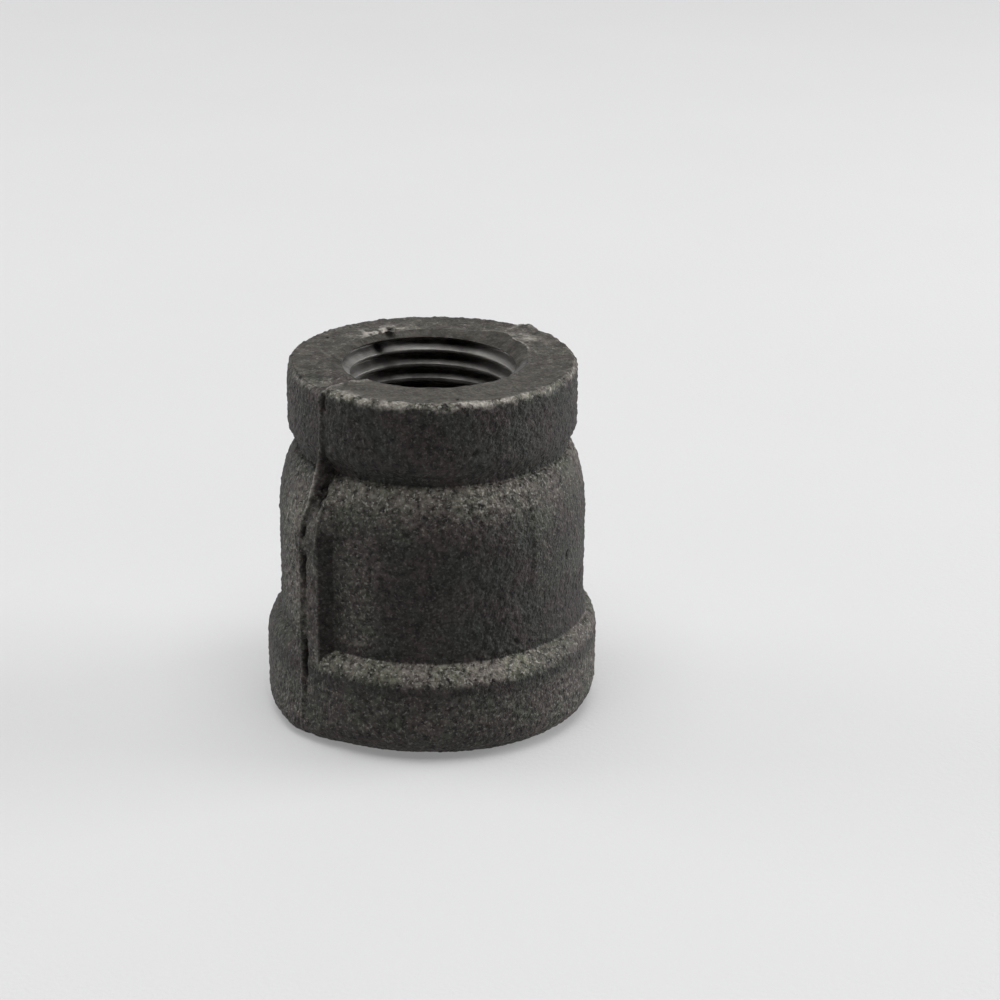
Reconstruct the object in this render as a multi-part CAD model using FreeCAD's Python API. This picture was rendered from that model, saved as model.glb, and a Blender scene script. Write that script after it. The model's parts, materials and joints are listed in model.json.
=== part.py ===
import FreeCAD, Part
import math
import os

os.makedirs("parts", exist_ok=True)

# Reducing coupling, 1/2 x 3/8 inch NPT, banded pattern, malleable iron. Millimetres.
# It stands on its large end: origin at the centre of the large end's face, +Z along
# the bore towards the small end. The whole fitting is one casting.

# Overall
height = 33.1            # face to face

# Outside, from the large end upwards
large_band_r = 15.4
large_band_top_z = 7.2        # where the band starts to round over
large_band_edge_r = 2.4       # rounding at the large end's rim
barrel_r = 14.05
barrel_start_z = 9.15         # where the rounded band meets the barrel
barrel_end_z = 19.1           # where the barrel starts to close in
neck_r = 12.15
neck_z = 25.2                 # narrowest place, between shoulder and small band
small_band_r = 13.1
small_band_foot_z = 27.6      # where the band reaches its full size
small_band_edge_r = 0.8       # rounding at the small end's rim

# Mould parting plane: it holds the axis, and the ribs and the flash stand on it
parting_angle = 44.0          # degrees from +X, counter-clockwise
rib_top_r = 15.2              # radius of the rib's flat top
rib_top_half_width = 1.5
rib_root_r = 13.0
rib_root_half_width = 3.0
rib_straight_end_z = 19.5     # above this the rib runs out onto the shoulder
rib_end_z = 24.2
flash_thickness = 0.36
flash_height = 0.2            # how far the flash stands out of the casting
flash_foot_z = 0.6
flash_full_z = 2.8            # from here up the flash stands its full height
flash_lean_z = 19.8           # from here up it leans in towards the rib's run-out
flash_neck_bridge_z = 21.4    # from here up it bridges the neck to the small band
flash_bridge_mid_z = 24.5
burr_height = 0.25            # small upset of flash above the small end's rim
burr_length = 1.2
burr_thickness = 0.7

# Threads: pitch, pitch radius at the mouth, straight bore radius, mouth chamfer, length
taper = 1.0 / 32.0            # radius lost for each millimetre of depth (1:16 on diameter)
inch = 25.4
thread_height_ratio = 0.8     # thread height over pitch
thread_half_angle = math.radians(30.0)
thread_run_out = 1.5          # turns the groove is swept on past the mouth
groove_opening_ratio = 0.42   # depth the groove is cut inside its pitch line, over pitch

small_pitch = inch / 18.0
small_pitch_r = 15.926 / 2.0
small_bore_r = 7.45
small_chamfer_r = 8.8
small_chamfer_depth = 0.9
small_thread_length = 10.4
small_thread_start = 212.0    # degrees from +X where the groove begins, below the thread

large_pitch = inch / 14.0
large_pitch_r = 19.772 / 2.0
large_bore_r = 9.2
large_chamfer_r = 11.0
large_chamfer_depth = 1.2
large_thread_length = 12.0
large_thread_start = 0.0

wall_sectors = 12             # thread crests are laid out as this many faces per turn

# Cored cavity between the two threads
cavity_r = 11.0
cavity_corner = 0.8           # slope at the cavity's floor, clear of the large thread
cavity_straight_end_z = 16.5
cavity_top_r = 8.9

overlap = 1.0                 # how far added pieces and cutters run past what they meet


def point(radius, z):
    """A point in the XZ plane, where outlines are drawn."""
    return FreeCAD.Vector(radius, 0, z)


def line(start, end):
    return Part.LineSegment(start, end).toShape()


def quarter_ellipse(centre, radial, axial):
    """Convex quarter ellipse, from its outermost point (side) to its highest point (top)."""
    side = centre + FreeCAD.Vector(radial, 0, 0)
    top = centre + FreeCAD.Vector(0, 0, axial)
    if radial >= axial:
        ellipse = Part.Ellipse(side, top, centre)
    else:
        ellipse = Part.Ellipse(top, side, centre)
    ends = sorted([ellipse.parameter(side), ellipse.parameter(top)])
    if ends[1] - ends[0] > math.pi:
        ends = [ends[1], ends[0] + 2.0 * math.pi]
    return Part.ArcOfEllipse(ellipse, ends[0], ends[1]).toShape()


def round_corner(start, corner, end):
    """Circular arc that rounds a corner between two tangent points."""
    middle = (start + end) * 0.5
    centre = start + end - corner
    radius = (start - centre).Length
    on_arc = centre + (middle - centre).normalize() * radius
    return Part.Arc(start, on_arc, end).toShape()


def revolve_outline(edges):
    face = Part.Face(Part.Wire(Part.__sortEdges__(edges)))
    return face.revolve(FreeCAD.Vector(0, 0, 0), FreeCAD.Vector(0, 0, 1), 360)


def outer_casting():
    """The turned shape: two bands, the barrel and the neck between them."""
    rim_r = large_band_r - large_band_edge_r
    shoulder_centre = point(barrel_r, large_band_top_z)
    top_rim_r = small_band_r - small_band_edge_r
    top_rim_z = height - small_band_edge_r
    foot_mid = (small_band_foot_z + neck_z) / 2.0
    foot_mid_r = (small_band_r + neck_r) / 2.0
    band_side = point(small_band_r, small_band_foot_z)
    neck = point(neck_r, neck_z)
    foot = point(foot_mid_r, foot_mid)
    hollow_curve = Part.BSplineCurve()
    hollow_curve.interpolate([neck, foot, band_side], InitialTangent=FreeCAD.Vector(0, 0, 1),
                             FinalTangent=FreeCAD.Vector(0, 0, 1))
    return revolve_outline([
        line(point(0, 0), point(rim_r, 0)),
        round_corner(point(rim_r, 0), point(large_band_r, 0), point(large_band_r, large_band_edge_r)),
        line(point(large_band_r, large_band_edge_r), point(large_band_r, large_band_top_z)),
        quarter_ellipse(shoulder_centre, large_band_r - barrel_r, barrel_start_z - large_band_top_z),
        line(point(barrel_r, barrel_start_z), point(barrel_r, barrel_end_z)),
        quarter_ellipse(point(neck_r, barrel_end_z), barrel_r - neck_r, neck_z - barrel_end_z),
        hollow_curve.toShape(),
        line(band_side, point(small_band_r, top_rim_z)),
        round_corner(point(small_band_r, top_rim_z), point(small_band_r, height), point(top_rim_r, height)),
        line(point(top_rim_r, height), point(0, height)),
        line(point(0, height), point(0, 0)),
    ])


def rib():
    """Lengthwise rib with drafted flanks, flush with the large band, run out at the top."""
    start_z = large_band_edge_r
    foot_r = rib_root_r - overlap
    section = [
        FreeCAD.Vector(rib_root_r, -rib_root_half_width, start_z),
        FreeCAD.Vector(rib_top_r, -rib_top_half_width, start_z),
        FreeCAD.Vector(rib_top_r, rib_top_half_width, start_z),
        FreeCAD.Vector(rib_root_r, rib_root_half_width, start_z),
    ]
    bar = Part.Face(Part.makePolygon(section + section[:1]))
    bar = bar.extrude(FreeCAD.Vector(0, 0, rib_end_z - start_z))
    side_edges = [
        line(point(foot_r, start_z), point(rib_top_r, start_z)),
        line(point(rib_top_r, start_z), point(rib_top_r, rib_straight_end_z)),
        quarter_ellipse(point(foot_r, rib_straight_end_z), rib_top_r - foot_r,
                        rib_end_z - rib_straight_end_z),
        line(point(foot_r, rib_end_z), point(foot_r, start_z)),
    ]
    side = Part.Face(Part.Wire(Part.__sortEdges__(side_edges)))
    side.translate(FreeCAD.Vector(0, -rib_root_half_width, 0))
    side = side.extrude(FreeCAD.Vector(0, 2.0 * rib_root_half_width, 0))
    return bar.common(side)


def flash():
    """Thin fin left at the parting line. It bridges the neck beside the small band."""
    band_r = large_band_r + flash_height
    tip_r = small_band_r + flash_height
    inner_r = neck_r - overlap
    outline = [
        point(inner_r, flash_foot_z),
        point(large_band_r - large_band_edge_r + flash_height, flash_foot_z),
        point(band_r, flash_full_z),
        point(band_r, flash_lean_z),
        point(rib_top_r, flash_neck_bridge_z),
        point((rib_top_r + tip_r) / 2.0, flash_bridge_mid_z),
        point(tip_r, small_band_foot_z),
        point(tip_r, height - small_band_edge_r),
        point(inner_r, height - small_band_edge_r),
    ]
    fin = Part.Face(Part.makePolygon(outline + outline[:1]))
    fin.translate(FreeCAD.Vector(0, -flash_thickness / 2.0, 0))
    return fin.extrude(FreeCAD.Vector(0, flash_thickness, 0))


def rim_burr():
    """Small upset of metal where the flash meets the small end's rim."""
    low_z = height - 2.0 * small_band_edge_r
    high_z = height + burr_height
    start_r = small_band_r - burr_length
    outline = [
        point(start_r, low_z),
        point(small_band_r, low_z),
        point(small_band_r, height - burr_height),
        point(small_band_r - burr_height, high_z),
        point(small_band_r - burr_length / 2.0, high_z),
        point(start_r, height),
    ]
    lump = Part.Face(Part.makePolygon(outline + outline[:1]))
    lump.translate(FreeCAD.Vector(0, -burr_thickness / 2.0, 0))
    return lump.extrude(FreeCAD.Vector(0, burr_thickness, 0))


def at_parting_line(shape, turn):
    """A copy of a shape drawn at +X, moved onto the parting line (turn is 0 or 180 degrees)."""
    moved = shape.copy()
    moved.rotate(FreeCAD.Vector(0, 0, 0), FreeCAD.Vector(0, 0, 1), parting_angle + turn)
    return moved


def cavity():
    """Cored hollow between the threads, wide at the large end and closing towards the small one."""
    floor_z = large_thread_length
    top_z = height - small_thread_length
    return revolve_outline([
        line(point(0, floor_z - cavity_corner), point(large_bore_r, floor_z - cavity_corner)),
        line(point(large_bore_r, floor_z - cavity_corner), point(cavity_r, floor_z + cavity_corner)),
        line(point(cavity_r, floor_z + cavity_corner), point(cavity_r, cavity_straight_end_z)),
        line(point(cavity_r, cavity_straight_end_z), point(cavity_top_r, top_z)),
        line(point(cavity_top_r, top_z), point(small_bore_r, top_z + cavity_corner)),
        line(point(small_bore_r, top_z + cavity_corner), point(0, top_z + cavity_corner)),
        line(point(0, top_z + cavity_corner), point(0, floor_z - cavity_corner)),
    ])


# The cutters below are drawn with the mouth's face at z = 0 and the fitting below it.

def bore_cutter(radius, length):
    return Part.makeCylinder(radius, length + overlap, FreeCAD.Vector(0, 0, -length))


def chamfer_cutter(bore_r, chamfer_r, depth):
    slope = (chamfer_r - bore_r) / depth
    over = overlap / 2.0
    return Part.makeCone(bore_r - slope * over, chamfer_r + slope * over, depth + 2.0 * over,
                         FreeCAD.Vector(0, 0, -depth - over))


def thread_cutter(pitch, mouth_pitch_r, length, start_angle):
    """Right-hand taper groove, swept along a conical helix that starts below the thread."""
    below = length + pitch
    above = thread_run_out * pitch
    start_r = mouth_pitch_r - taper * below
    half_height = thread_height_ratio * pitch / 2.0
    inner_depth = groove_opening_ratio * pitch
    root_half = pitch / 4.0 - half_height * math.tan(thread_half_angle)
    inner_half = pitch / 4.0 + inner_depth * math.tan(thread_half_angle)
    helix = Part.makeHelix(pitch, below + above, start_r, math.degrees(math.atan(taper)))
    helix.translate(FreeCAD.Vector(0, 0, -below))
    section = [
        point(start_r + half_height, -below - root_half),
        point(start_r + half_height, -below + root_half),
        point(start_r - inner_depth, -below + inner_half),
        point(start_r - inner_depth, -below - inner_half),
    ]
    groove = Part.Wire(Part.makePolygon(section + section[:1]).Edges)
    cutter = Part.Wire(helix.Edges).makePipeShell([groove], True, True)
    cutter.rotate(FreeCAD.Vector(0, 0, 0), FreeCAD.Vector(0, 0, 1), start_angle)
    return cutter


def crest_lines(radius, length):
    """Lines along the bored wall that lay each thread crest out in even faces."""
    lines = []
    for index in range(wall_sectors):
        angle = 2.0 * math.pi * (index + 0.5) / wall_sectors
        foot = FreeCAD.Vector(radius * math.cos(angle), radius * math.sin(angle), -length)
        lines.append(line(foot, foot + FreeCAD.Vector(0, 0, length + overlap)))
    return lines


def to_small_end(shape):
    shape.translate(FreeCAD.Vector(0, 0, height))
    return shape


def to_large_end(shape):
    shape.rotate(FreeCAD.Vector(0, 0, 0), FreeCAD.Vector(1, 0, 0), 180)
    return shape


def outside():
    """The casting before boring, with what stands on its parting line."""
    return outer_casting().fuse([
        at_parting_line(rib(), 0),
        at_parting_line(rib(), 180),
        at_parting_line(flash(), 0),
        at_parting_line(flash(), 180),
        at_parting_line(rim_burr(), 0),
    ])


def coupling_body():
    """The casting with both thread grooves sunk in it, then bored out to the thread crests."""
    small_thread = thread_cutter(small_pitch, small_pitch_r, small_thread_length, small_thread_start)
    large_thread = thread_cutter(large_pitch, large_pitch_r, large_thread_length, large_thread_start)
    casting = outside()
    casting = casting.cut(to_small_end(small_thread))
    casting = casting.cut(to_large_end(large_thread))
    casting = casting.cut([
        cavity(),
        to_small_end(bore_cutter(small_bore_r, small_thread_length)),
        to_small_end(chamfer_cutter(small_bore_r, small_chamfer_r, small_chamfer_depth)),
        to_large_end(bore_cutter(large_bore_r, large_thread_length)),
        to_large_end(chamfer_cutter(large_bore_r, large_chamfer_r, large_chamfer_depth)),
    ])
    walls = [to_small_end(edge) for edge in crest_lines(small_bore_r, small_thread_length)]
    walls += [to_large_end(edge) for edge in crest_lines(large_bore_r, large_thread_length)]
    return casting.generalFuse(walls)[0].Solids[0]


body = coupling_body()
if not body.isValid():
    raise RuntimeError("the casting must be one valid solid")
body.exportStep("parts/coupling_body.step")
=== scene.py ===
import json
import math

import bpy
import numpy as np
from mathutils import Matrix, Vector


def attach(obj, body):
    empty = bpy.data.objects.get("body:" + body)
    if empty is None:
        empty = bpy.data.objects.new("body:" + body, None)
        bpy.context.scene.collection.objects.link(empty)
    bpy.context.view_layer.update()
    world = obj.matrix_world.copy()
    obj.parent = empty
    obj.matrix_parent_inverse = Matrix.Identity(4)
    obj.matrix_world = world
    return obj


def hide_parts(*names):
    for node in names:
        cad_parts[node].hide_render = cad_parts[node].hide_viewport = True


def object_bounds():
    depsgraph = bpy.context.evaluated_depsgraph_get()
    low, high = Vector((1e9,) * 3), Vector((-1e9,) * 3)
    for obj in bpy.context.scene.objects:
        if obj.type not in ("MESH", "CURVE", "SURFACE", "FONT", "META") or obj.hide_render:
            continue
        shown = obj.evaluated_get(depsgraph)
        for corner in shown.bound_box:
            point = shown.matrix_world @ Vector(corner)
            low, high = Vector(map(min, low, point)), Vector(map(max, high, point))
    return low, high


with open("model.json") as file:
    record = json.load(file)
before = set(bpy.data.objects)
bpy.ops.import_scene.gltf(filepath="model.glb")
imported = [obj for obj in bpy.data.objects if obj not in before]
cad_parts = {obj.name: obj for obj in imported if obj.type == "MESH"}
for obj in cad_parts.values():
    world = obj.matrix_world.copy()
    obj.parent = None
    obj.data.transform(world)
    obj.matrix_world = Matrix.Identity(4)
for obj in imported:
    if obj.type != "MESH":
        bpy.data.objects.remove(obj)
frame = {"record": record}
cad_low, cad_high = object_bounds()

# A sand-cast reducing coupling. One closed mesh stands for the CAD casting: its outline is turned
# round the axis, and the ribs, the parting-line flash, the sand grain, the knocks and both taper
# threads are real displacement. Lengths below are in millimetres; the mesh is scaled to metres.

METRE = 0.001
mounts = {mount["name"]: mount for mount in frame["record"]["mounts"]}

# From the frame
height = mounts["small_end_face"]["pos_m"][2] / METRE
large_band_r = (cad_high.x - cad_low.x) / 2.0 / METRE
burr_height = cad_high.z / METRE - height
small_bore_r = mounts["small_end_thread"]["dims"]["r_mm"]
large_bore_r = mounts["large_end_thread"]["dims"]["r_mm"]

# The outline, after the CAD part. The barrel and the neck lie a few hundredths inside it.
skin_clearance = 0.01
skin_allowance = 0.06         # the mean surface lies this far inside, so that grains stay in the box
band_r = large_band_r - skin_allowance
large_band_top_z = 7.2
large_band_edge = 2.4
barrel_r = 14.03
barrel_start_z = 9.15
barrel_end_z = 19.1
neck_r = 12.12
neck_z = 25.2
small_band_r = 13.1
small_band_foot_z = 27.6
small_band_edge = 0.5         # the ground face cuts the cast rounding short
small_chamfer_r = 8.8
small_chamfer_depth = 0.9
large_chamfer_r = 11.0
large_chamfer_depth = 1.2
cavity_r = 11.0
cavity_floor_z = 12.8
cavity_straight_end_z = 16.5
cavity_top_r = 8.9
cavity_top_z = 22.7

# What stands on the parting line
parting_angle = math.radians(44.0)
front_seam_side = -46.0       # degrees from the front, positive to the right
rib_top_r = 15.2
rib_top_half_width = 1.5
rib_flank_slope = 1.5 / 2.15  # sideways run for each millimetre of depth
rib_straight_end_z = 19.5
rib_end_z = 24.2
rib_foot_r = 12.0
flash_half_width = 0.2

# Threads
inch = 25.4
taper = 1.0 / 32.0            # radius lost for each millimetre of depth
small_pitch = inch / 18.0
small_thread_length = 10.4
small_start_turn = 212.0 / 360.0
large_pitch = inch / 14.0
large_thread_length = 12.0
tan_flank = math.tan(math.radians(30.0))
SMALL_END = {
    "pitch": small_pitch, "pitch_r": 15.926 / 2.0, "bore_r": small_bore_r,
    "chamfer_depth": small_chamfer_depth, "chamfer_bend": 1.7,
    "mouth_z": height, "inward": -1.0,
    "start_z": height - small_thread_length - small_pitch * (1.0 + small_start_turn),
}
LARGE_END = {
    "pitch": large_pitch, "pitch_r": 19.772 / 2.0, "bore_r": large_bore_r,
    "chamfer_depth": large_chamfer_depth, "chamfer_bend": 1.0,
    "mouth_z": 0.0, "inward": 1.0,
    "start_z": large_thread_length + large_pitch,
}

# Mesh spacing
columns = 880
seam_crowding = 1.3           # extra columns beside the parting line
seam_crowding_width = 7.0     # degrees
skin_step = 0.12
small_thread_step = 0.05
large_thread_step = 0.055
cavity_step = 0.3

# Surface detail
foot_wear_height = 3.2        # how far up the large end's uneven rim reaches
grain_mean = 0.42             # the grain value that neither raises nor lowers the skin

SKIN, FACE, SMALL_THREAD, CAVITY, LARGE_THREAD, FOOT = range(6)


# ---------------------------------------------------------------- noise

def cell_value(ix, iy, iz, seed):
    """A repeatable number from 0 to 1 for each integer cell."""
    h = (ix * 374761393 + iy * 668265263 + iz * 2147483647 + seed * 1274126177) & 0xFFFFFFFF
    h = ((h ^ (h >> 13)) * 1103515245) & 0xFFFFFFFF
    h = ((h ^ (h >> 16)) * 2654435761) & 0xFFFFFFFF
    return ((h ^ (h >> 15)) & 0xFFFFFF) / float(0x1000000)


def smooth_noise(points, size, seed):
    """Value noise from -1 to 1 with features about size across."""
    q = points / size
    base = np.floor(q).astype(np.int64)
    f = q - base
    f = f * f * (3.0 - 2.0 * f)
    total = np.zeros(len(points))
    for dx in (0, 1):
        wx = f[:, 0] if dx else 1.0 - f[:, 0]
        for dy in (0, 1):
            wy = f[:, 1] if dy else 1.0 - f[:, 1]
            for dz in (0, 1):
                wz = f[:, 2] if dz else 1.0 - f[:, 2]
                corner = cell_value(base[:, 0] + dx, base[:, 1] + dy, base[:, 2] + dz, seed)
                total += wx * wy * wz * corner
    return total * 2.0 - 1.0


def layered_noise(points, size, seed, layers=3):
    total = np.zeros(len(points))
    weight = 1.0
    whole = 0.0
    for layer in range(layers):
        total += weight * smooth_noise(points, size / 2.0 ** layer, seed + layer)
        whole += weight
        weight *= 0.5
    return total / whole


def sand_grains(points, size, seed):
    """Round grains of mixed height, packed one to a cell: 0 between grains, up to 1 on top."""
    q = points / size
    base = np.floor(q).astype(np.int64)
    best = np.zeros(len(points))
    for dx in (-1, 0, 1):
        for dy in (-1, 0, 1):
            for dz in (-1, 0, 1):
                ix, iy, iz = base[:, 0] + dx, base[:, 1] + dy, base[:, 2] + dz
                gx = ix + cell_value(ix, iy, iz, seed) - q[:, 0]
                gy = iy + cell_value(ix, iy, iz, seed + 1) - q[:, 1]
                gz = iz + cell_value(ix, iy, iz, seed + 2) - q[:, 2]
                top = cell_value(ix, iy, iz, seed + 3)
                dome = 1.0 - (gx * gx + gy * gy + gz * gz) / 0.55
                best = np.maximum(best, dome * (0.25 + 0.75 * top))
    return best


# ---------------------------------------------------------------- outline

def straight(start, end, step):
    count = max(1, round(math.dist(start, end) / step))
    t = np.arange(count) / count
    return [(start[0] + (end[0] - start[0]) * k, start[1] + (end[1] - start[1]) * k) for k in t]


def bow(start, end, step, upright_first, fullness=2.0):
    """A bowed quarter curve between two points: 2 is an ellipse, less is flatter."""
    dr, dz = end[0] - start[0], end[1] - start[1]
    count = max(2, round(math.hypot(dr, dz) * 1.1 / step))
    points = []
    for k in range(count):
        a = math.pi / 2.0 * k / count
        s, c = math.sin(a) ** (2.0 / fullness), 1.0 - math.cos(a) ** (2.0 / fullness)
        points.append((start[0] + dr * (c if upright_first else s),
                       start[1] + dz * (s if upright_first else c)))
    return points


def wave(start, end, step):
    """A hollow that turns into a rounded edge, upright at both ends."""
    count = max(2, round(math.dist(start, end) / step))
    points = []
    for k in range(count):
        t = k / count
        blend = t * t * (3.0 - 2.0 * t)
        points.append((start[0] + (end[0] - start[0]) * blend, start[1] + (end[1] - start[1]) * t))
    return points


def outline():
    """Radius, height and zone of every row of the mesh, once round the casting's section."""
    step = skin_step
    parts = [
        (SKIN, bow((band_r - large_band_edge, 0.0), (band_r, large_band_edge), step, False)),
        (SKIN, straight((band_r, large_band_edge), (band_r, large_band_top_z), step)),
        (SKIN, bow((band_r, large_band_top_z), (barrel_r, barrel_start_z), step, True, 1.65)),
        (SKIN, straight((barrel_r, barrel_start_z), (barrel_r, barrel_end_z), step)),
        (SKIN, bow((barrel_r, barrel_end_z), (neck_r, neck_z), step, True, 1.85)),
        (SKIN, wave((neck_r, neck_z), (small_band_r, small_band_foot_z), step)),
        (SKIN, straight((small_band_r, small_band_foot_z), (small_band_r, height - small_band_edge), step)),
        (SKIN, bow((small_band_r, height - small_band_edge), (small_band_r - small_band_edge, height),
                   step, True)),
        (FACE, straight((small_band_r - small_band_edge, height), (small_chamfer_r, height), step)),
        (SMALL_THREAD, straight((small_bore_r, height), (small_bore_r, cavity_top_z), small_thread_step)),
        (CAVITY, straight((cavity_top_r, cavity_top_z), (cavity_r, cavity_straight_end_z), cavity_step)),
        (CAVITY, straight((cavity_r, cavity_straight_end_z), (cavity_r, cavity_floor_z), cavity_step)),
        (LARGE_THREAD, straight((large_bore_r, cavity_floor_z), (large_bore_r, 0.0), large_thread_step)),
        (FOOT, straight((large_chamfer_r, 0.0), (band_r - large_band_edge, 0.0), step)),
    ]
    rows = [(r, z, zone) for zone, points in parts for r, z in points]
    return (np.array([row[0] for row in rows]), np.array([row[1] for row in rows]),
            np.array([row[2] for row in rows]))


def soften(values, mask, passes):
    """Rounds the outline's corners by averaging neighbouring rows of one zone."""
    out = values.copy()
    inner = mask & np.roll(mask, 1) & np.roll(mask, -1)
    for _ in range(passes):
        mean = (np.roll(out, 1) + out + np.roll(out, -1)) / 3.0
        out[inner] = mean[inner]
    return out


# ---------------------------------------------------------------- threads

def groove_offset(z, phi, end):
    """Signed distance along the axis from the middle of the nearest thread groove."""
    turns = (z - end["start_z"]) / end["pitch"] - phi / (2.0 * math.pi)
    return (turns - np.round(turns)) * end["pitch"]


def thread_root(z, end):
    depth = (z - end["mouth_z"]) * end["inward"]
    return end["pitch_r"] - taper * depth + 0.4 * end["pitch"]


# ---------------------------------------------------------------- small shapes

def hill(value, centre, width):
    """1 at the centre, falling smoothly away over about the width."""
    return np.exp(-((value - centre) / width) ** 2)


def turn_between(side, centre):
    """Degrees from one direction round to another, the short way."""
    return (side - centre + 180.0) % 360.0 - 180.0


def around(side, centre, width):
    """A hill in degrees round the axis."""
    return hill(turn_between(side, centre), 0.0, width)


def rise(value, start, end):
    """0 before start, 1 after end, smooth between."""
    t = np.clip((value - start) / (end - start), 0.0, 1.0)
    return t * t * (3.0 - 2.0 * t)


def smooth_max(a, b, softness):
    return 0.5 * (a + b + np.sqrt((a - b) ** 2 + softness ** 2))


# ---------------------------------------------------------------- the parting line

def from_parting_line(phi):
    """Angle from the nearer parting line, and which of the two it is (0 back right, 1 front left)."""
    turn = (phi - parting_angle) / math.pi
    which = np.round(turn)
    return (turn - which) * math.pi, (which.astype(int)) % 2


def column_angles():
    """Angles of the mesh's columns, closer together beside the parting line."""
    fine = np.linspace(0.0, 2.0 * math.pi, 7201)
    delta, _ = from_parting_line(fine)
    density = 1.0 + seam_crowding * hill(delta, 0.0, math.radians(seam_crowding_width))
    share = np.concatenate([[0.0], np.cumsum(density[1:] + density[:-1])])
    return np.interp(np.arange(columns) / columns, share / share[-1], fine)


def rib_radius(delta, z):
    """The rib's top and its drafted flank, as a radius at each angle from the parting line."""
    run_out = np.clip((z - rib_straight_end_z) / (rib_end_z - rib_straight_end_z), 0.0, 1.0)
    top = rib_foot_r + (rib_top_r - skin_allowance - rib_foot_r) * np.sqrt(1.0 - run_out ** 2)
    top_plane = top / np.cos(delta)
    flank = (rib_top_half_width + top * rib_flank_slope) / (
        np.abs(np.sin(delta)) + rib_flank_slope * np.cos(delta))
    return np.minimum(top_plane, flank)


def flash_radius(z):
    """How far the flash reaches: just proud of the casting, and straight across the neck."""
    top = height - small_band_edge
    heights = [0.0, 1.0, large_band_edge + 0.6, 20.0, 21.4, 24.5, small_band_foot_z, top - 0.4, height]
    radii = [band_r - 2.2, band_r - 1.0, band_r, band_r, rib_top_r - 0.05, 14.1,
             small_band_r + 0.1, small_band_r + 0.05, small_band_r - 0.7]
    return np.interp(z, heights, radii)


# How open the crack beside the front flash is, from the large end's rim to the small end's
crack_heights = [0.0, 0.6, 1.6, 2.6, 4.5, 6.0, 8.0, 9.5, 11.0,
                 18.0, 21.0, 25.5, 27.0, 29.5, 31.0, 32.6, 33.2]
crack_openness = [0.9, 0.9, 0.2, 0.1, 0.4, 0.6, 0.8, 0.9, 0.7,
                  0.6, 0.75, 0.45, 0.15, 0.15, 0.5, 0.45, 0.15]

# How much fuller the large end's rim is than its nominal rounding, round the axis
foot_sides = [-180.0, -97.0, -86.0, -72.0, -57.0, -43.0, -32.0, -20.0, 0.0, 30.0, 65.0, 100.0, 180.0]
foot_fullness = [-0.3, -0.4, -0.2, 0.7, 1.0, 0.6, -0.2, -0.5, -0.75, -0.35, -0.1, -0.35, -0.3]

# Dents and pits: degrees from the front, height, half width, half height, lean, depth
DENTS = (
    (20.0, 16.4, 0.26, 0.26, 0.0, 0.16),
    (34.0, 10.4, 0.3, 0.26, 0.0, 0.2),
    (60.0, 16.9, 0.34, 0.3, 0.0, 0.2),
    (-43.2, 23.4, 0.3, 0.8, 0.25, 0.35),
    (-12.0, 4.4, 0.25, 0.25, 0.0, 0.15),
    (18.0, 28.6, 0.3, 0.22, 0.0, 0.16),
    (118.0, 15.0, 0.3, 0.5, 0.2, 0.3),
    (-120.0, 11.0, 0.35, 0.3, 0.0, 0.3),
    (165.0, 5.0, 0.4, 0.3, 0.0, 0.25),
    (-160.0, 27.8, 0.3, 0.4, 0.1, 0.25),
)

# Pits in the ground face and the mouth: degrees from the front, radius, half size, depth
FACE_PITS = (
    (-151.5, 8.8, 0.45, 0.5),
    (-145.5, 8.8, 0.32, 0.4),
    (-153.5, 9.6, 0.2, 0.25),
    (-139.0, 9.1, 0.2, 0.22),
    (-120.0, 11.4, 0.16, 0.12),
    (12.0, 11.9, 0.15, 0.1),
)


# ---------------------------------------------------------------- the casting's mesh

def from_fold(side, r):
    """Degrees from the fold that runs in from the front flash to the mouth."""
    return turn_between(side, front_seam_side + 1.0 + 4.0 * rise(-r, -10.2, -9.2))


def rim_lift(side, r):
    """How far the small end stands above its nominal plane: a fold at the front, a burr behind."""
    turned = from_fold(side, r)
    across = np.radians(turned) * r
    dropped = -0.26 * hill(turned, 0.0, 26.0) * (1.0 - rise(across, -0.2, 0.12))
    lip = 0.1 * hill(across, 0.22, 0.22)
    raised = (0.17 * around(side, 125.0, 12.0) + 0.14 * around(side, 138.0, 4.5)
              + 0.08 * around(side, 150.0, 13.0))
    return dropped + lip + raised * rise(r, 9.5, small_band_r - 0.4)


def mouth_radius(side, unevenness):
    """Outer radius of the mouth's chamfer, chipped wide at the back right, left and back left."""
    chip = 1.35 * around(side, 141.0, 12.0) + 0.55 * around(side, 117.0, 13.0)
    chip = chip + 0.6 * around(side, -74.0, 21.0) + 0.45 * around(side, -150.0, 3.0)
    return small_chamfer_r - 0.25 + chip + 0.2 * unevenness


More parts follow.
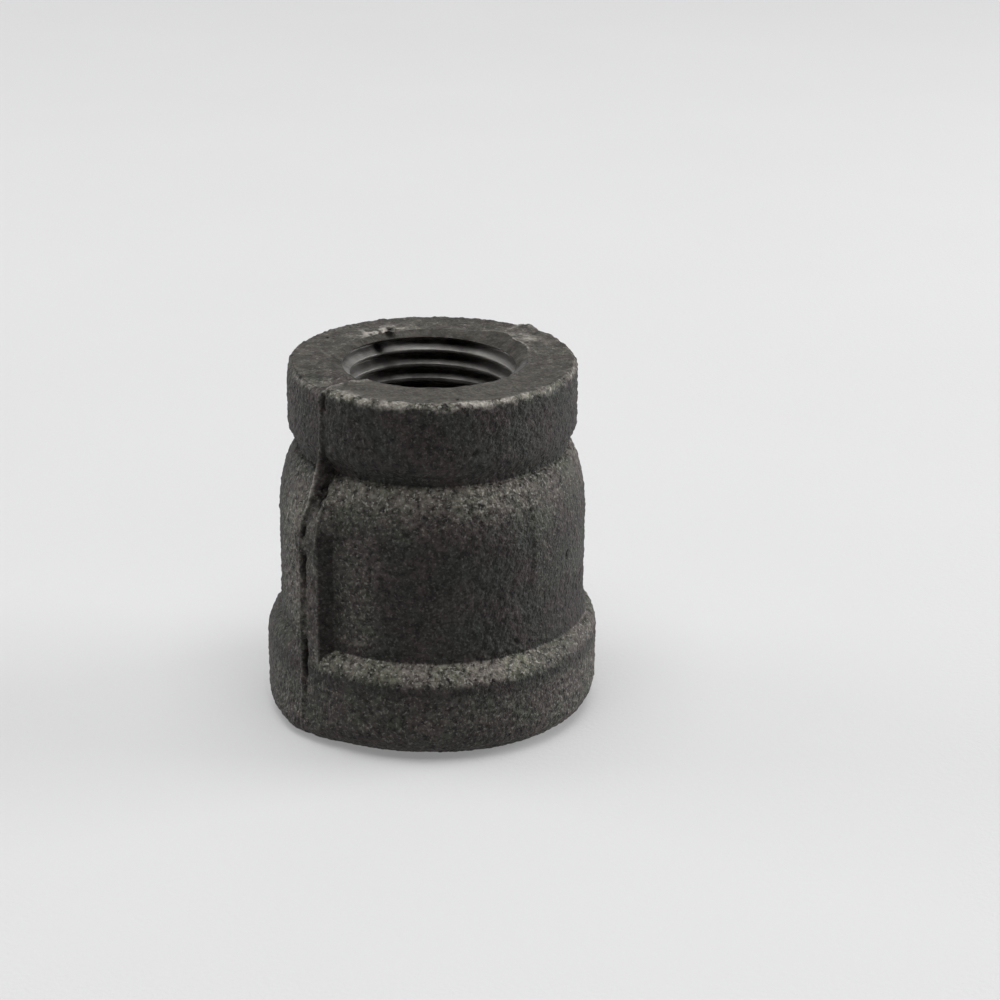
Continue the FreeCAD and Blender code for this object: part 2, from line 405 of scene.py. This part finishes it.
def thread_wall(z, phi, end, mouth_r):
    """Radius of the bored, chamfered and tapped wall, with rows moved onto the thread's edges."""
    pitch = end["pitch"]
    root_half = pitch / 4.0 - 0.4 * pitch * tan_flank
    step = abs(z[1, 0] - z[0, 0])
    offset = groove_offset(z, phi, end)
    crest_half = root_half + (thread_root(z, end) - end["bore_r"]) * tan_flank
    moves = np.stack([edge - offset for edge in (-crest_half, -root_half, root_half, crest_half)])
    nearest = np.take_along_axis(moves, np.abs(moves).argmin(0)[None], 0)[0]
    near_mouth = np.abs(z - end["mouth_z"]) < 1e-9
    z = z + np.where((np.abs(nearest) < 0.48 * step) & ~near_mouth, nearest, 0.0)
    offset = groove_offset(z, phi, end)
    groove = thread_root(z, end) - np.maximum(np.abs(offset) - root_half, 0.0) / tan_flank
    depth = (z - end["mouth_z"]) * end["inward"] / end["chamfer_depth"]
    flare = np.clip(1.0 - depth, 0.0, 1.0) ** end["chamfer_bend"]
    chamfer = end["bore_r"] + (mouth_r - end["bore_r"]) * flare
    cut = np.maximum(groove, end["bore_r"])
    return np.maximum(cut, chamfer), z, rise(chamfer - cut, 0.0, 0.08)


class Surface:
    """The casting's grid of vertices. Rows go round the section and columns go round the axis."""

    def __init__(self):
        row_r, row_z, self.row_zone = outline()
        skin_rows = self.row_zone == SKIN
        row_r = soften(row_r, skin_rows, 3)
        row_z = soften(row_z, skin_rows, 3)
        phi = column_angles()
        shape = (len(row_r), columns)
        self.nominal_r = np.broadcast_to(row_r[:, None], shape)
        self.r = self.nominal_r.copy()
        self.z = np.broadcast_to(row_z[:, None], shape).copy()
        self.angle = np.broadcast_to(phi[None], shape)
        self.zone = np.broadcast_to(self.row_zone[:, None], shape)
        self.side = turn_between(np.degrees(self.angle), 270.0)
        self.delta, self.which = from_parting_line(self.angle)
        slope_r = np.roll(row_r, -1) - np.roll(row_r, 1)
        slope_z = np.roll(row_z, -1) - np.roll(row_z, 1)
        length = np.hypot(slope_r, slope_z) + 1e-9
        self.out_r = np.broadcast_to((slope_z / length)[:, None], shape)
        self.out_z = np.broadcast_to((-slope_r / length)[:, None], shape)
        self.skin = self.zone == SKIN
        self.face = self.zone == FACE
        self.rough = self.skin | self.face | (self.zone == CAVITY)
        self.worn = np.zeros(shape)
        # painted shade: how dark each vertex is painted in cracks, dents, pits, the notch, on the rib's
        # flank and over the chamfer
        self.painted_shade = np.zeros(shape)
        self.ground = self.face.astype(float)
        self.grain = np.full(shape, 0.5)

    def points(self, mask):
        """Places of the masked vertices, in millimetres."""
        r, z, angle = self.r[mask], self.z[mask], self.angle[mask]
        return np.stack([r * np.cos(angle), r * np.sin(angle), z], -1)

    def noise(self, size, seed, layers=3, mask=None):
        """Layered noise on the rough zones, or where the mask holds, and 0 elsewhere."""
        mask = self.rough if mask is None else mask
        out = np.zeros(self.r.shape)
        out[mask] = layered_noise(self.points(mask), size, seed, layers)
        return out

    def grains(self, size, seed):
        out = np.zeros(self.r.shape)
        out[self.rough] = sand_grains(self.points(self.rough), size, seed)
        return out

    def tap_threads(self):
        mouth_uneven = self.noise(1.6, 71, 3, self.zone == SMALL_THREAD)
        small = self.row_zone == SMALL_THREAD
        mouth_r = mouth_radius(self.side[small], mouth_uneven[small][:1])
        self.mouth_r = mouth_r[0]
        self.r[small], self.z[small], self.ground[small] = thread_wall(
            self.z[small], self.angle[small], SMALL_END, mouth_r)
        large = self.row_zone == LARGE_THREAD
        self.r[large], self.z[large], self.ground[large] = thread_wall(
            self.z[large], self.angle[large], LARGE_END, large_chamfer_r)

    def shape_rims(self):
        """The large end's rim is uneven all round, and the small end's is worn at the left.

        The neck and the fillet above the large band are fuller at the right.
        """
        foot = np.interp(self.side, foot_sides, foot_fullness) + 0.25 * around(self.side, -53.0, 3.5)
        low = np.clip(1.0 - self.z / foot_wear_height, 0.0, 1.0)
        self.r = self.r + np.where(self.skin, foot * low ** 1.3, 0.0)
        rim_r = small_band_r - small_band_edge
        foot_r = band_r - large_band_edge
        along = (rim_r - self.nominal_r) / (rim_r - small_chamfer_r)
        self.r = np.where(self.face, rim_r - along * (rim_r - self.mouth_r[None]), self.r)
        on_foot = self.zone == FOOT
        along = (self.nominal_r - large_chamfer_r) / (foot_r - large_chamfer_r)
        self.r = np.where(on_foot, large_chamfer_r + along * (foot_r + foot - large_chamfer_r), self.r)
        worn = 0.28 * around(self.side, -72.0, 22.0) * rise(self.z, height - 1.3, height)
        self.r = self.r - np.where(self.skin, worn, 0.0)
        neck_fill = 0.14 * around(self.side, 95.0, 40.0) * hill(self.z, neck_z, 1.5)
        fillet_fill = 0.34 * around(self.side, 92.0, 38.0) * hill(self.z, 9.2, 1.0)
        self.r = self.r + np.where(self.skin, neck_fill + fillet_fill, 0.0)

    def raise_ribs(self):
        rib = rib_radius(self.delta, self.z)
        with_rib = smooth_max(self.r, rib, 0.09)
        here = self.skin & (self.z > 1.2) & (self.z < rib_end_z)
        stands = np.where(here, rise(rib - self.nominal_r, 0.02, 0.12), 0.0)
        self.r = np.where(here, np.maximum(self.r, with_rib), self.r)
        across = np.abs(self.r * np.sin(self.delta))
        self.flank = stands * rise(across, rib_top_half_width, rib_top_half_width + 0.12)
        self.flank = self.flank * (1.0 - rise(self.z, rib_straight_end_z + 0.3, rib_straight_end_z + 1.8))
        # painted shade on the rib's flank, which faces the camera
        self.painted_shade = np.maximum(self.painted_shade, 0.29 * self.flank)
        streak = rise(self.noise(0.8, 37, 2), -0.3, 0.5) * (1.0 - rise(self.z, 19.0, 23.0))
        self.worn = np.maximum(self.worn, 0.16 * stands * (1.0 - self.flank) * streak)

    def raise_flash(self):
        """The flash with its ragged edge, the crack beside it and the burr on the far rim."""
        ragged = self.noise(1.1, 11) * 0.5 + 0.5
        wander = self.noise(2.5, 17, 2) * 0.14
        aside = 0.5 * (1.0 - rise(self.z, 20.0, 23.0)) * (self.which == 1)
        sideways = self.r * np.sin(self.delta) - wander + aside
        bridge = hill(self.z, 24.2, 2.2)
        fin = np.exp(-np.abs(sideways / (flash_half_width + 0.16 * bridge)) ** 2.6)
        reach = np.maximum(flash_radius(self.z) - self.r, 0.0) + 0.24 * ragged
        self.r = np.where(self.skin, self.r + fin * reach, self.r)
        ridge = hill(sideways, -0.04, 0.13) * (0.1 + 0.9 * bridge) * rise(ragged, 0.1, 0.5)
        self.worn = np.maximum(self.worn, np.where(self.skin, ridge, 0.0))

        openness = np.interp(self.z, crack_heights, crack_openness) * np.where(self.which == 1, 1.0, 0.45)
        broken = 0.5 + 0.75 * self.noise(1.9, 23, 4)
        width = 0.06 + 0.2 * broken + 0.05 * openness
        open_here = openness * rise(broken + 0.2 * openness, 0.5, 0.8)
        crumbled = sideways + 0.26 * self.noise(0.9, 59, 3)
        crack = hill(crumbled, 0.3, width) * open_here
        gap = hill(sideways + 0.12 * self.noise(0.8, 61, 3), 0.52, 0.25) * hill(self.z, 24.1, 1.3)
        crack = np.maximum(crack, 0.62 * gap * (self.which == 1) * rise(ragged, 0.15, 0.5))
        self.r = np.where(self.skin, self.r - 0.6 * crack, self.r)
        # painted shade in the crack and in the gap beside the flash
        self.painted_shade = np.maximum(self.painted_shade, np.where(self.skin, crack, 0.0))

        burr = hill(sideways, 0.75, 0.75) * (self.which == 0) * rise(self.z, height - 1.6, height - 0.1)
        self.r = self.r + np.where(self.skin, 0.5 * burr, 0.0)

    def strike_marks(self):
        """Scattered dents, and a patch on the right that was rubbed smoother."""
        ragged_across = 0.5 * self.noise(0.9, 67, 3)
        ragged_up = 0.5 * self.noise(0.9, 79, 3)
        chewed = rise(self.noise(0.55, 89, 2), -0.8, -0.1)
        for side, z, half_width, half_height, lean, depth in DENTS:
            up = self.z - z + ragged_up
            across = np.radians(turn_between(self.side, side)) * self.r + lean * up + ragged_across
            dent = np.exp(-np.abs(across / half_width) ** 2.6 - (up / half_height) ** 4)
            dent = np.where(self.skin, dent * chewed, 0.0)
            self.r = self.r - depth * dent
            # painted shade in each dent, darker for deeper dents
            self.painted_shade = np.maximum(self.painted_shade, dent * min(1.0, depth * 2.2))
        edge = self.noise(1.2, 83, 2) * 1.5
        pad = rise(self.side + edge, 40.5, 42.0) * (1.0 - rise(self.side, 70.0, 95.0))
        pad = pad * rise(self.z + edge * 0.4, 13.8, 15.2) * (1.0 - rise(self.z, 22.0, 25.0))
        self.pad = np.where(self.skin, pad, 0.0)
        self.r = self.r + 0.12 * self.pad

    def wear_small_end(self):
        """The rim's lifts, the notched mouth, the crust beside it and the pits."""
        high = rise(self.z, height - 2.4, height - 0.3) * (self.skin | self.face)
        small = self.zone == SMALL_THREAD
        lift = rim_lift(self.side, self.r)
        self.z = self.z + lift * high
        mouth = rise(self.z, height - small_chamfer_depth, height)
        self.z = self.z + np.where(small, lift * mouth, 0.0)
        notch = around(self.side, -140.0, 3.4) * hill(self.z, height - 1.2, 0.4) * small
        broken_mouth = around(self.side, -150.0, 3.6) * rise(self.z, height - 0.8, height) * small
        self.r = self.r + 0.5 * notch
        # painted shade in the notch and where the mouth is broken
        self.painted_shade = np.maximum(self.painted_shade, np.maximum(notch, broken_mouth))
        crust = around(self.side, -148.0, 14.0) * hill(self.r, 9.4, 1.0) * self.face
        lumps = self.noise(0.8, 91, 3)
        self.z = self.z + crust * 0.14 * np.abs(lumps)
        self.worn = np.maximum(self.worn, np.minimum(1.6 * crust * rise(lumps, -0.25, 0.12), 1.0))
        for side, r, half_size, depth in FACE_PITS:
            across = np.radians(turn_between(self.side, side)) * self.r
            pit = np.exp(-(across ** 2 + (self.r - r) ** 2) / half_size ** 2) * self.face
            self.z = self.z - depth * pit
            # painted shade in each pit
            self.painted_shade = np.maximum(self.painted_shade, pit)

    def edge_ground_face(self):
        """Where the grinding stopped short, the face's folds and chips, and crumbs on its rim."""
        cut_in = 0.55 * around(self.side, -42.0, 13.0)
        ragged_edge = small_band_r - small_band_edge + 0.05 + 0.22 * self.noise(0.9, 97, 3) - cut_in
        past_edge = rise(self.r, ragged_edge - 0.12, ragged_edge + 0.12)
        turned = from_fold(self.side, self.r)
        across = np.radians(turned) * self.r
        missed = hill(turned, 0.0, 34.0) * (1.0 - rise(across, -0.1, 0.15))
        rough_back = 0.55 * (1.0 - around(self.side, 0.0, 75.0))
        cut_clean = (1.0 - past_edge) * (1.0 - np.maximum(missed, rough_back))
        self.ground = np.where(self.face, cut_clean, self.ground)
        chip = hill(self.r, self.mouth_r[None] + 0.12, 0.16) * around(self.side, 122.0, 26.0)
        from_back_fold = np.radians(turn_between(self.side, 141.0)) * self.r
        fold = hill(from_back_fold, 0.0, 0.22) * rise(self.r, 10.0, 10.6)
        fold = np.maximum(fold, 0.8 * hill(across, 0.25, 0.2))
        self.z = self.z + 0.07 * np.where(self.face, np.maximum(chip, fold), 0.0)
        broken = rise(self.noise(0.8, 107, 2), -0.35, 0.25)
        bruised = 0.8 * around(self.side, 128.0, 14.0) * hill(self.r, 10.4, 1.0)
        bare = np.maximum(np.maximum(chip, fold), bruised)
        self.worn = np.maximum(self.worn, 0.7 * bare * broken * self.face)
        rim = hill(self.r, small_band_r - 0.2 - 0.6 * cut_in, 0.38 + 0.5 * cut_in)
        rim = rim * rise(self.z, height - 1.0, height - 0.3)
        self.crumbs = rise(self.noise(0.75, 103, 3), -0.1, 0.18)
        front = 0.12 + 0.88 * around(self.side, 5.0, 48.0)
        self.worn = np.maximum(self.worn, rim * self.crumbs * front * (self.skin | self.face))

    def settle_dust_and_painted_light(self):
        """Pale dust on what faces up, beside the front parting line and rib, and low down. What faces up
        and what lies low are also paler from painted light: top light above, floor bounce below.
        """
        patchy = 0.85 + 0.35 * self.noise(4.0, 113, 2)
        left = 1.0 - rise(np.abs(turn_between(self.side, -98.0)), 50.0, 62.0)
        right = rise(self.side, 30.0, 60.0) * (1.0 - rise(self.side, 110.0, 160.0))
        # paler on what faces up: partly settled dust, partly painted top light
        dust_and_light = rise(self.out_z, 0.03, 0.42) * (1.0 - 0.85 * left - 0.45 * right)
        by_seam = around(self.side, -58.0, 14.0) * rise(self.z, 8.8, 11.0)
        by_seam = by_seam * (1.0 - rise(self.z, 20.0, 26.0))
        # paler low down, more so at the right: partly dust, partly painted light bounced from the floor and
        # from the low right-hand lamp
        low_dust_and_bounce_light = 1.0 - rise(self.z, 5.5, large_band_top_z)
        dust_and_light = dust_and_light + 1.1 * by_seam + low_dust_and_bounce_light * (0.42 + 0.3 * right)
        by_rib = around(self.side, -27.0, 8.0) * rise(self.z, 9.0, 11.0)
        by_rib = by_rib * (1.0 - rise(self.z, 18.0, 22.0))
        dust_and_light = dust_and_light + 0.62 * by_rib + 0.16 * self.pad + 0.14 * left * rise(self.z, 27.0, 30.0)
        dust_and_light = dust_and_light * (1.0 - self.flank)
        on_face = np.where(self.face, 0.05 + 0.35 * self.crumbs, 0.0)
        self.dust_and_painted_light = np.where(self.skin, patchy * dust_and_light, 0.0) + on_face

    def roughen(self):
        """Sand grain over the cast skin, and a much weaker tool-worn grain on the ground face."""
        coarse = self.grains(0.72, 101)
        fine = self.grains(0.42, 211)
        patch = self.noise(3.2, 41, 3)
        self.grain = np.where(self.rough, coarse * (0.5 + 0.35 * patch) + fine * 0.55, 0.5)
        cast = self.skin | (self.zone == CAVITY)
        calm = 1.0 - 0.45 * self.pad - 0.4 * self.flank
        skin_push = 0.2 * calm * (self.grain - grain_mean) + 0.06 * self.noise(5.0, 31, 3)
        face_grain = 0.05 + 0.12 * (1.0 - self.ground)
        face_push = face_grain * (self.grain - grain_mean) + 0.035 * self.noise(1.8, 51)
        push = np.where(cast, skin_push, 0.0) + np.where(self.face, face_push, 0.0)
        chamfer = (self.zone == SMALL_THREAD) * self.ground
        uneven = self.noise(0.7, 53, 3, self.zone == SMALL_THREAD)
        push = push + chamfer * 0.09 * uneven
        # painted shade over the small end's chamfer
        self.painted_shade = np.maximum(self.painted_shade, chamfer * np.clip(0.24 + 0.3 * uneven, 0.0, 0.5))
        push = push * np.where(self.skin, np.clip(self.z / 0.6, 0.0, 1.0), 1.0)
        self.r = self.r + push * self.out_r
        self.z = self.z + push * self.out_z

    def position(self):
        """Vertex places in millimetres, kept inside the CAD part's box."""
        place = np.stack([self.r * np.cos(self.angle), self.r * np.sin(self.angle), self.z], -1)
        reach = large_band_r - skin_clearance
        place[..., :2] = np.clip(place[..., :2], -reach, reach)
        place[..., 2] = np.clip(place[..., 2], 0.0, height + burr_height)
        return place

    def values(self):
        threads = (self.zone == SMALL_THREAD) | (self.zone == LARGE_THREAD)
        return {"grain": self.grain, "ground": self.ground, "thread": threads * (1.0 - self.ground),
                "worn": self.worn, "painted_shade": self.painted_shade, "dust_and_painted_light": self.dust_and_painted_light}


def casting_surface():
    surface = Surface()
    surface.tap_threads()
    surface.shape_rims()
    surface.raise_ribs()
    surface.raise_flash()
    surface.strike_marks()
    surface.wear_small_end()
    surface.edge_ground_face()
    surface.settle_dust_and_painted_light()
    surface.roughen()
    return surface


def build_mesh(name, position, row_zone, values):
    """Closes the grid both ways. Thread rows are split along the helix so that edges stay crisp."""
    rows = len(row_zone)
    mesh = bpy.data.meshes.new(name)
    mesh.vertices.add(rows * columns)
    mesh.vertices.foreach_set("co", (position * METRE).astype(np.float32).ravel())
    j, i = np.meshgrid(np.arange(rows), np.arange(columns), indexing="ij")
    j2, i2 = (j + 1) % rows, (i + 1) % columns
    a, b, c, d = j * columns + i, j * columns + i2, j2 * columns + i2, j2 * columns + i
    step = np.linalg.norm(np.roll(position, -1, 0) - position, axis=-1).mean(1)
    along = np.concatenate([[0.0], np.cumsum(step)])
    along /= along[-1]
    u1, u2 = i / columns, (i + 1) / columns
    v1, v2 = along[j], along[j + 1]
    corner_uv = [np.stack(p, -1) for p in ((u1, v1), (u2, v1), (u2, v2), (u1, v2))]
    threaded = (row_zone == SMALL_THREAD) | (row_zone == LARGE_THREAD)
    plain = ~threaded
    quads = np.stack([a, b, c, d], -1)[plain].reshape(-1, 4)
    quad_uv = np.stack(corner_uv, 2)[plain].reshape(-1, 2)
    # rows run downwards in the threads, so the helix follows the b-d diagonal
    first = np.stack([a, b, d], -1)[threaded].reshape(-1, 3)
    second = np.stack([b, c, d], -1)[threaded].reshape(-1, 3)
    first_uv = np.stack([corner_uv[0], corner_uv[1], corner_uv[3]], 2)[threaded].reshape(-1, 2)
    second_uv = np.stack([corner_uv[1], corner_uv[2], corner_uv[3]], 2)[threaded].reshape(-1, 2)
    loops = np.concatenate([quads.ravel(), first.ravel(), second.ravel()])
    totals = np.concatenate([np.full(len(quads), 4), np.full(len(first) + len(second), 3)])
    starts = np.concatenate([[0], np.cumsum(totals)[:-1]])
    mesh.loops.add(len(loops))
    mesh.loops.foreach_set("vertex_index", loops.astype(np.int32))
    mesh.polygons.add(len(totals))
    mesh.polygons.foreach_set("loop_start", starts.astype(np.int32))
    mesh.polygons.foreach_set("loop_total", totals.astype(np.int32))
    unrolled = mesh.uv_layers.new(name="OFBake")
    uv = np.concatenate([quad_uv, first_uv, second_uv]).astype(np.float32)
    unrolled.data.foreach_set("uv", uv.ravel())
    for key, data in values.items():
        layer = mesh.attributes.new(name=key, type="FLOAT", domain="POINT")
        layer.data.foreach_set("value", data.astype(np.float32).ravel())
    mesh.update()
    mesh.validate()
    mesh.shade_smooth()
    return mesh


# ---------------------------------------------------------------- materials

class Tree:
    """Short calls for building one material's node tree."""

    def __init__(self, name):
        self.material = bpy.data.materials.new(name)
        self.material.use_nodes = True
        self.nodes = self.material.node_tree.nodes
        self.links = self.material.node_tree.links
        self.shader = self.nodes["Principled BSDF"]

    def put(self, node, socket, value):
        if isinstance(value, bpy.types.NodeSocket):
            self.links.new(value, node.inputs[socket])
        else:
            node.inputs[socket].default_value = value

    def attribute(self, name):
        node = self.nodes.new("ShaderNodeAttribute")
        node.attribute_name = name
        return node.outputs["Fac"]

    def place(self):
        """Position on the part in millimetres."""
        node = self.nodes.new("ShaderNodeTexCoord")
        scale = self.nodes.new("ShaderNodeVectorMath")
        scale.operation = "SCALE"
        self.links.new(node.outputs["Object"], scale.inputs[0])
        scale.inputs["Scale"].default_value = 1.0 / METRE
        return scale.outputs[0]

    def noise(self, vector, size, detail=3.0, roughness=0.55):
        node = self.nodes.new("ShaderNodeTexNoise")
        self.links.new(vector, node.inputs["Vector"])
        node.inputs["Scale"].default_value = 1.0 / size
        node.inputs["Detail"].default_value = detail
        node.inputs["Roughness"].default_value = roughness
        return node.outputs["Fac"]

    def remap(self, value, low, high, to_low=0.0, to_high=1.0):
        node = self.nodes.new("ShaderNodeMapRange")
        self.put(node, "Value", value)
        limits = {"From Min": low, "From Max": high, "To Min": to_low, "To Max": to_high}
        for socket, number in limits.items():
            node.inputs[socket].default_value = number
        return node.outputs["Result"]

    def component(self, vector, axis):
        node = self.nodes.new("ShaderNodeSeparateXYZ")
        self.links.new(vector, node.inputs[0])
        return node.outputs[axis]

    def upward(self):
        """How far the surface faces up: 1 for level, 0 for upright."""
        node = self.nodes.new("ShaderNodeNewGeometry")
        return self.component(node.outputs["Normal"], "Z")

    def shade(self, colour, amount):
        """A colour made lighter or darker by a plain factor."""
        node = self.nodes.new("ShaderNodeVectorMath")
        node.operation = "SCALE"
        self.put(node, 0, colour)
        node.inputs["Scale"].default_value = amount
        return node.outputs[0]

    def maths(self, operation, a, b):
        node = self.nodes.new("ShaderNodeMath")
        node.operation = operation
        self.put(node, 0, a)
        self.put(node, 1, b)
        return node.outputs[0]

    def mix(self, factor, a, b):
        node = self.nodes.new("ShaderNodeMix")
        node.data_type = "RGBA"
        self.put(node, 0, factor)
        self.put(node, 6, a)
        self.put(node, 7, b)
        return node.outputs[2]

    def bump(self, height_socket, distance, strength=1.0):
        node = self.nodes.new("ShaderNodeBump")
        node.inputs["Distance"].default_value = distance
        node.inputs["Strength"].default_value = strength
        self.links.new(height_socket, node.inputs["Height"])
        return node.outputs["Normal"]


def cast_iron_material():
    """Dark sand-cast skin, greyer where a face was ground, smoother and paler in the threads."""
    tree = Tree("cast_iron")
    place = tree.place()
    grain = tree.attribute("grain")
    is_face = tree.attribute("ground")
    is_thread = tree.attribute("thread")
    worn = tree.attribute("worn")
    painted_shade = tree.attribute("painted_shade")
    upward = tree.upward()

    # Skin: brown-grey scale, redder and greener in places, with paler grain tops and dark hollows
    stain = tree.noise(place, 4.5, 4.0)
    hue = tree.noise(place, 3.0, 3.0)
    mottle = tree.noise(place, 0.6, 3.0, 0.72)
    speck = tree.noise(place, 0.26, 1.5)
    skin = tree.mix(tree.remap(hue, 0.4, 0.6), (0.0237, 0.0187, 0.0183, 1), (0.0183, 0.0195, 0.0168, 1))
    skin = tree.mix(tree.remap(stain, 0.35, 0.65), tree.shade(skin, 0.8), tree.shade(skin, 1.15))
    skin = tree.mix(tree.remap(mottle, 0.33, 0.7), tree.shade(skin, 0.3), tree.shade(skin, 2.7))
    skin = tree.mix(tree.remap(grain, 0.22, 0.05, 0.0, 0.6), skin, (0.01, 0.009, 0.008, 1))

    # Pale dust and bare grain tops, mostly on what faces up; the extra paleness on what faces up is partly
    # painted top light
    upward_dust_and_light = tree.maths("MULTIPLY", tree.remap(upward, -0.2, 0.5, 0.25, 1.0), tree.attribute("dust_and_painted_light"))
    dust_and_light_mix = tree.maths("MULTIPLY", upward_dust_and_light, tree.remap(mottle, 0.36, 0.64, 0.05, 1.0))
    dust_colour = tree.mix(tree.remap(hue, 0.42, 0.62), (0.235, 0.212, 0.185, 1), (0.22, 0.216, 0.165, 1))
    skin = tree.mix(dust_and_light_mix, skin, dust_colour)
    on_top = tree.remap(upward_dust_and_light, 0.0, 0.8, 0.14, 1.0)
    bare = tree.maths("MULTIPLY", tree.remap(speck, 0.56, 0.7, 0.0, 0.9), on_top)
    skin = tree.mix(bare, skin, (0.36, 0.345, 0.31, 1))

    # Ground face: mottled mid grey
    cloud = tree.noise(place, 1.3, 5.0, 0.65)
    ground = tree.mix(tree.remap(cloud, 0.35, 0.65), (0.031, 0.0283, 0.0238, 1), (0.08, 0.0732, 0.0625, 1))
    ground = tree.mix(tree.remap(speck, 0.5, 0.75, 0.0, 0.3), ground, (0.2, 0.19, 0.17, 1))
    # Threads: paler metal, whose paler patches are painted highlight along the crests
    thread = tree.mix(tree.remap(stain, 0.38, 0.6), (0.1, 0.096, 0.091, 1), (0.31, 0.3, 0.286, 1))

    colour = tree.mix(is_face, skin, ground)
    colour = tree.mix(is_thread, colour, thread)
    colour = tree.mix(tree.maths("MULTIPLY", worn, tree.remap(speck, 0.35, 0.6, 0.4, 1.0)), colour,
                      (0.42, 0.395, 0.355, 1))
    # Painted shade: near black in the cracks, dents, pits, notch, on the rib's flank and over the chamfer
    colour = tree.mix(tree.remap(painted_shade, 0.1, 0.7, 0.0, 0.9), colour, (0.006, 0.005, 0.005, 1))
    tree.put(tree.shader, "Base Color", colour)
    rough = tree.remap(mottle, 0.3, 0.7, 0.5, 0.7)
    rough = tree.maths("SUBTRACT", rough, tree.maths("MULTIPLY", is_thread, 0.16))
    tree.put(tree.shader, "Roughness", rough)
    tree.put(tree.shader, "Metallic", tree.maths("MULTIPLY", is_thread, 0.5))
    tree.put(tree.shader, "Specular IOR Level", tree.remap(painted_shade, 0.1, 0.8, 0.22, 0.0))

    fine = tree.noise(place, 0.24, 2.5)
    smooth = tree.maths("MAXIMUM", is_thread, tree.maths("MULTIPLY", is_face, 0.75))
    ridges = tree.maths("MULTIPLY", fine, tree.remap(smooth, 0.0, 1.0, 1.0, 0.1))
    tree.put(tree.shader, "Normal", tree.bump(ridges, 0.0002))
    return tree.material


def floor_material():
    """Pale matt cloth with a barely visible weave, which also glows with painted light, stronger farther
    back, that lifts the shadows round the part.
    """
    tree = Tree("pale_cloth_painted_glow")
    place = tree.place()
    shade = tree.noise(place, 60.0, 3.0)
    tree.put(tree.shader, "Base Color", tree.mix(shade, (0.44, 0.44, 0.445, 1), (0.47, 0.47, 0.475, 1)))
    tree.put(tree.shader, "Roughness", 0.95)
    tree.put(tree.shader, "Emission Color", (1.0, 1.0, 1.0, 1))
    # painted glow: the cloth gives off light of its own, more of it farther back
    painted_glow = tree.remap(tree.component(place, "Y"), 40.0, 450.0, 0.22, 0.36)
    tree.put(tree.shader, "Emission Strength", painted_glow)
    weave = tree.noise(place, 0.5, 2.0)
    tree.put(tree.shader, "Normal", tree.bump(weave, 0.0001, 0.3))
    return tree.material


# ---------------------------------------------------------------- stage, light and camera

def add_object(name, data):
    thing = bpy.data.objects.new(name, data)
    bpy.context.scene.collection.objects.link(thing)
    return thing


def pale_floor():
    """A level cloth that rises in a soft sweep far behind the part."""
    half_width, front = 1.6, -1.2
    sweep_start, sweep_depth, sweep_height = 0.5, 0.8, 0.9
    steps = 24
    profile = [(front, 0.0), (sweep_start, 0.0)]
    for k in range(1, steps + 1):
        a = math.pi / 2.0 * k / steps
        profile.append((sweep_start + sweep_depth * math.sin(a), sweep_height * (1.0 - math.cos(a))))
    verts = [(x, y, z) for y, z in profile for x in (-half_width, half_width)]
    faces = [(2 * k, 2 * k + 1, 2 * k + 3, 2 * k + 2) for k in range(len(profile) - 1)]
    mesh = bpy.data.meshes.new("floor")
    mesh.from_pydata(verts, [], faces)
    mesh.shade_smooth()
    mesh.materials.append(floor_material())
    floor = add_object("floor", mesh)


def softbox(name, at, size, watts):
    """A square light that faces the middle of the part."""
    light = bpy.data.lights.new(name, "AREA")
    light.shape = "RECTANGLE"
    light.size, light.size_y = size, size
    light.energy = watts
    lamp = add_object(name, light)
    lamp.location = at
    lamp.rotation_mode = "QUATERNION"
    aim = Vector((0.0, 0.0, height * METRE / 2.0)) - Vector(at)
    lamp.rotation_quaternion = aim.to_track_quat("-Z", "Y")


def sky():
    """Bright all round except towards the camera, where a dim room is reflected."""
    world = bpy.data.worlds.new("studio")
    bpy.context.scene.world = world
    world.use_nodes = True
    nodes, links = world.node_tree.nodes, world.node_tree.links
    coords = nodes.new("ShaderNodeTexCoord")
    split = nodes.new("ShaderNodeSeparateXYZ")
    links.new(coords.outputs["Generated"], split.inputs[0])
    ramp = nodes.new("ShaderNodeMapRange")
    ramp.inputs["From Min"].default_value = -0.3
    ramp.inputs["From Max"].default_value = 0.55
    ramp.inputs["To Min"].default_value = 0.0
    ramp.inputs["To Max"].default_value = 0.5
    links.new(split.outputs["Y"], ramp.inputs["Value"])
    links.new(ramp.outputs["Result"], nodes["Background"].inputs["Strength"])
    nodes["Background"].inputs["Color"].default_value = (1.0, 1.0, 1.0, 1.0)


def camera():
    """Looks down on the part from in front and a little to its right."""
    distance_back, above, right = 201.64, 98.11, 6.22
    down, roll = math.radians(21.322), math.radians(-0.677)
    data = bpy.data.cameras.new("camera")
    data.sensor_width = 36.0
    data.lens = 84.6
    data.clip_start, data.clip_end = 0.01, 10.0
    eye = add_object("camera", data)
    eye.location = (right * METRE, -distance_back * METRE, above * METRE)
    eye.rotation_mode = "QUATERNION"
    forward = Vector((0.0, math.cos(down), -math.sin(down)))
    turn = Matrix.Rotation(roll, 4, forward).to_quaternion()
    eye.rotation_quaternion = turn @ forward.to_track_quat("-Z", "Y")
    bpy.context.scene.camera = eye


def main():
    surface = casting_surface()
    mesh = build_mesh("coupling", surface.position(), surface.row_zone, surface.values())
    mesh.materials.append(cast_iron_material())
    casting = add_object("coupling", mesh)
    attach(casting, "root")
    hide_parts("coupling_body")
    pale_floor()
    sky()
    softbox("top_light", (0.0, -0.07, 0.6), 0.5, 3.3)
    softbox("left_light", (-0.6, 0.14, 0.17), 0.35, 1.6)
    softbox("right_light", (0.58, 0.1, 0.15), 0.35, 3.1)
    camera()
    bpy.context.scene.view_settings.view_transform = "Standard"


main()
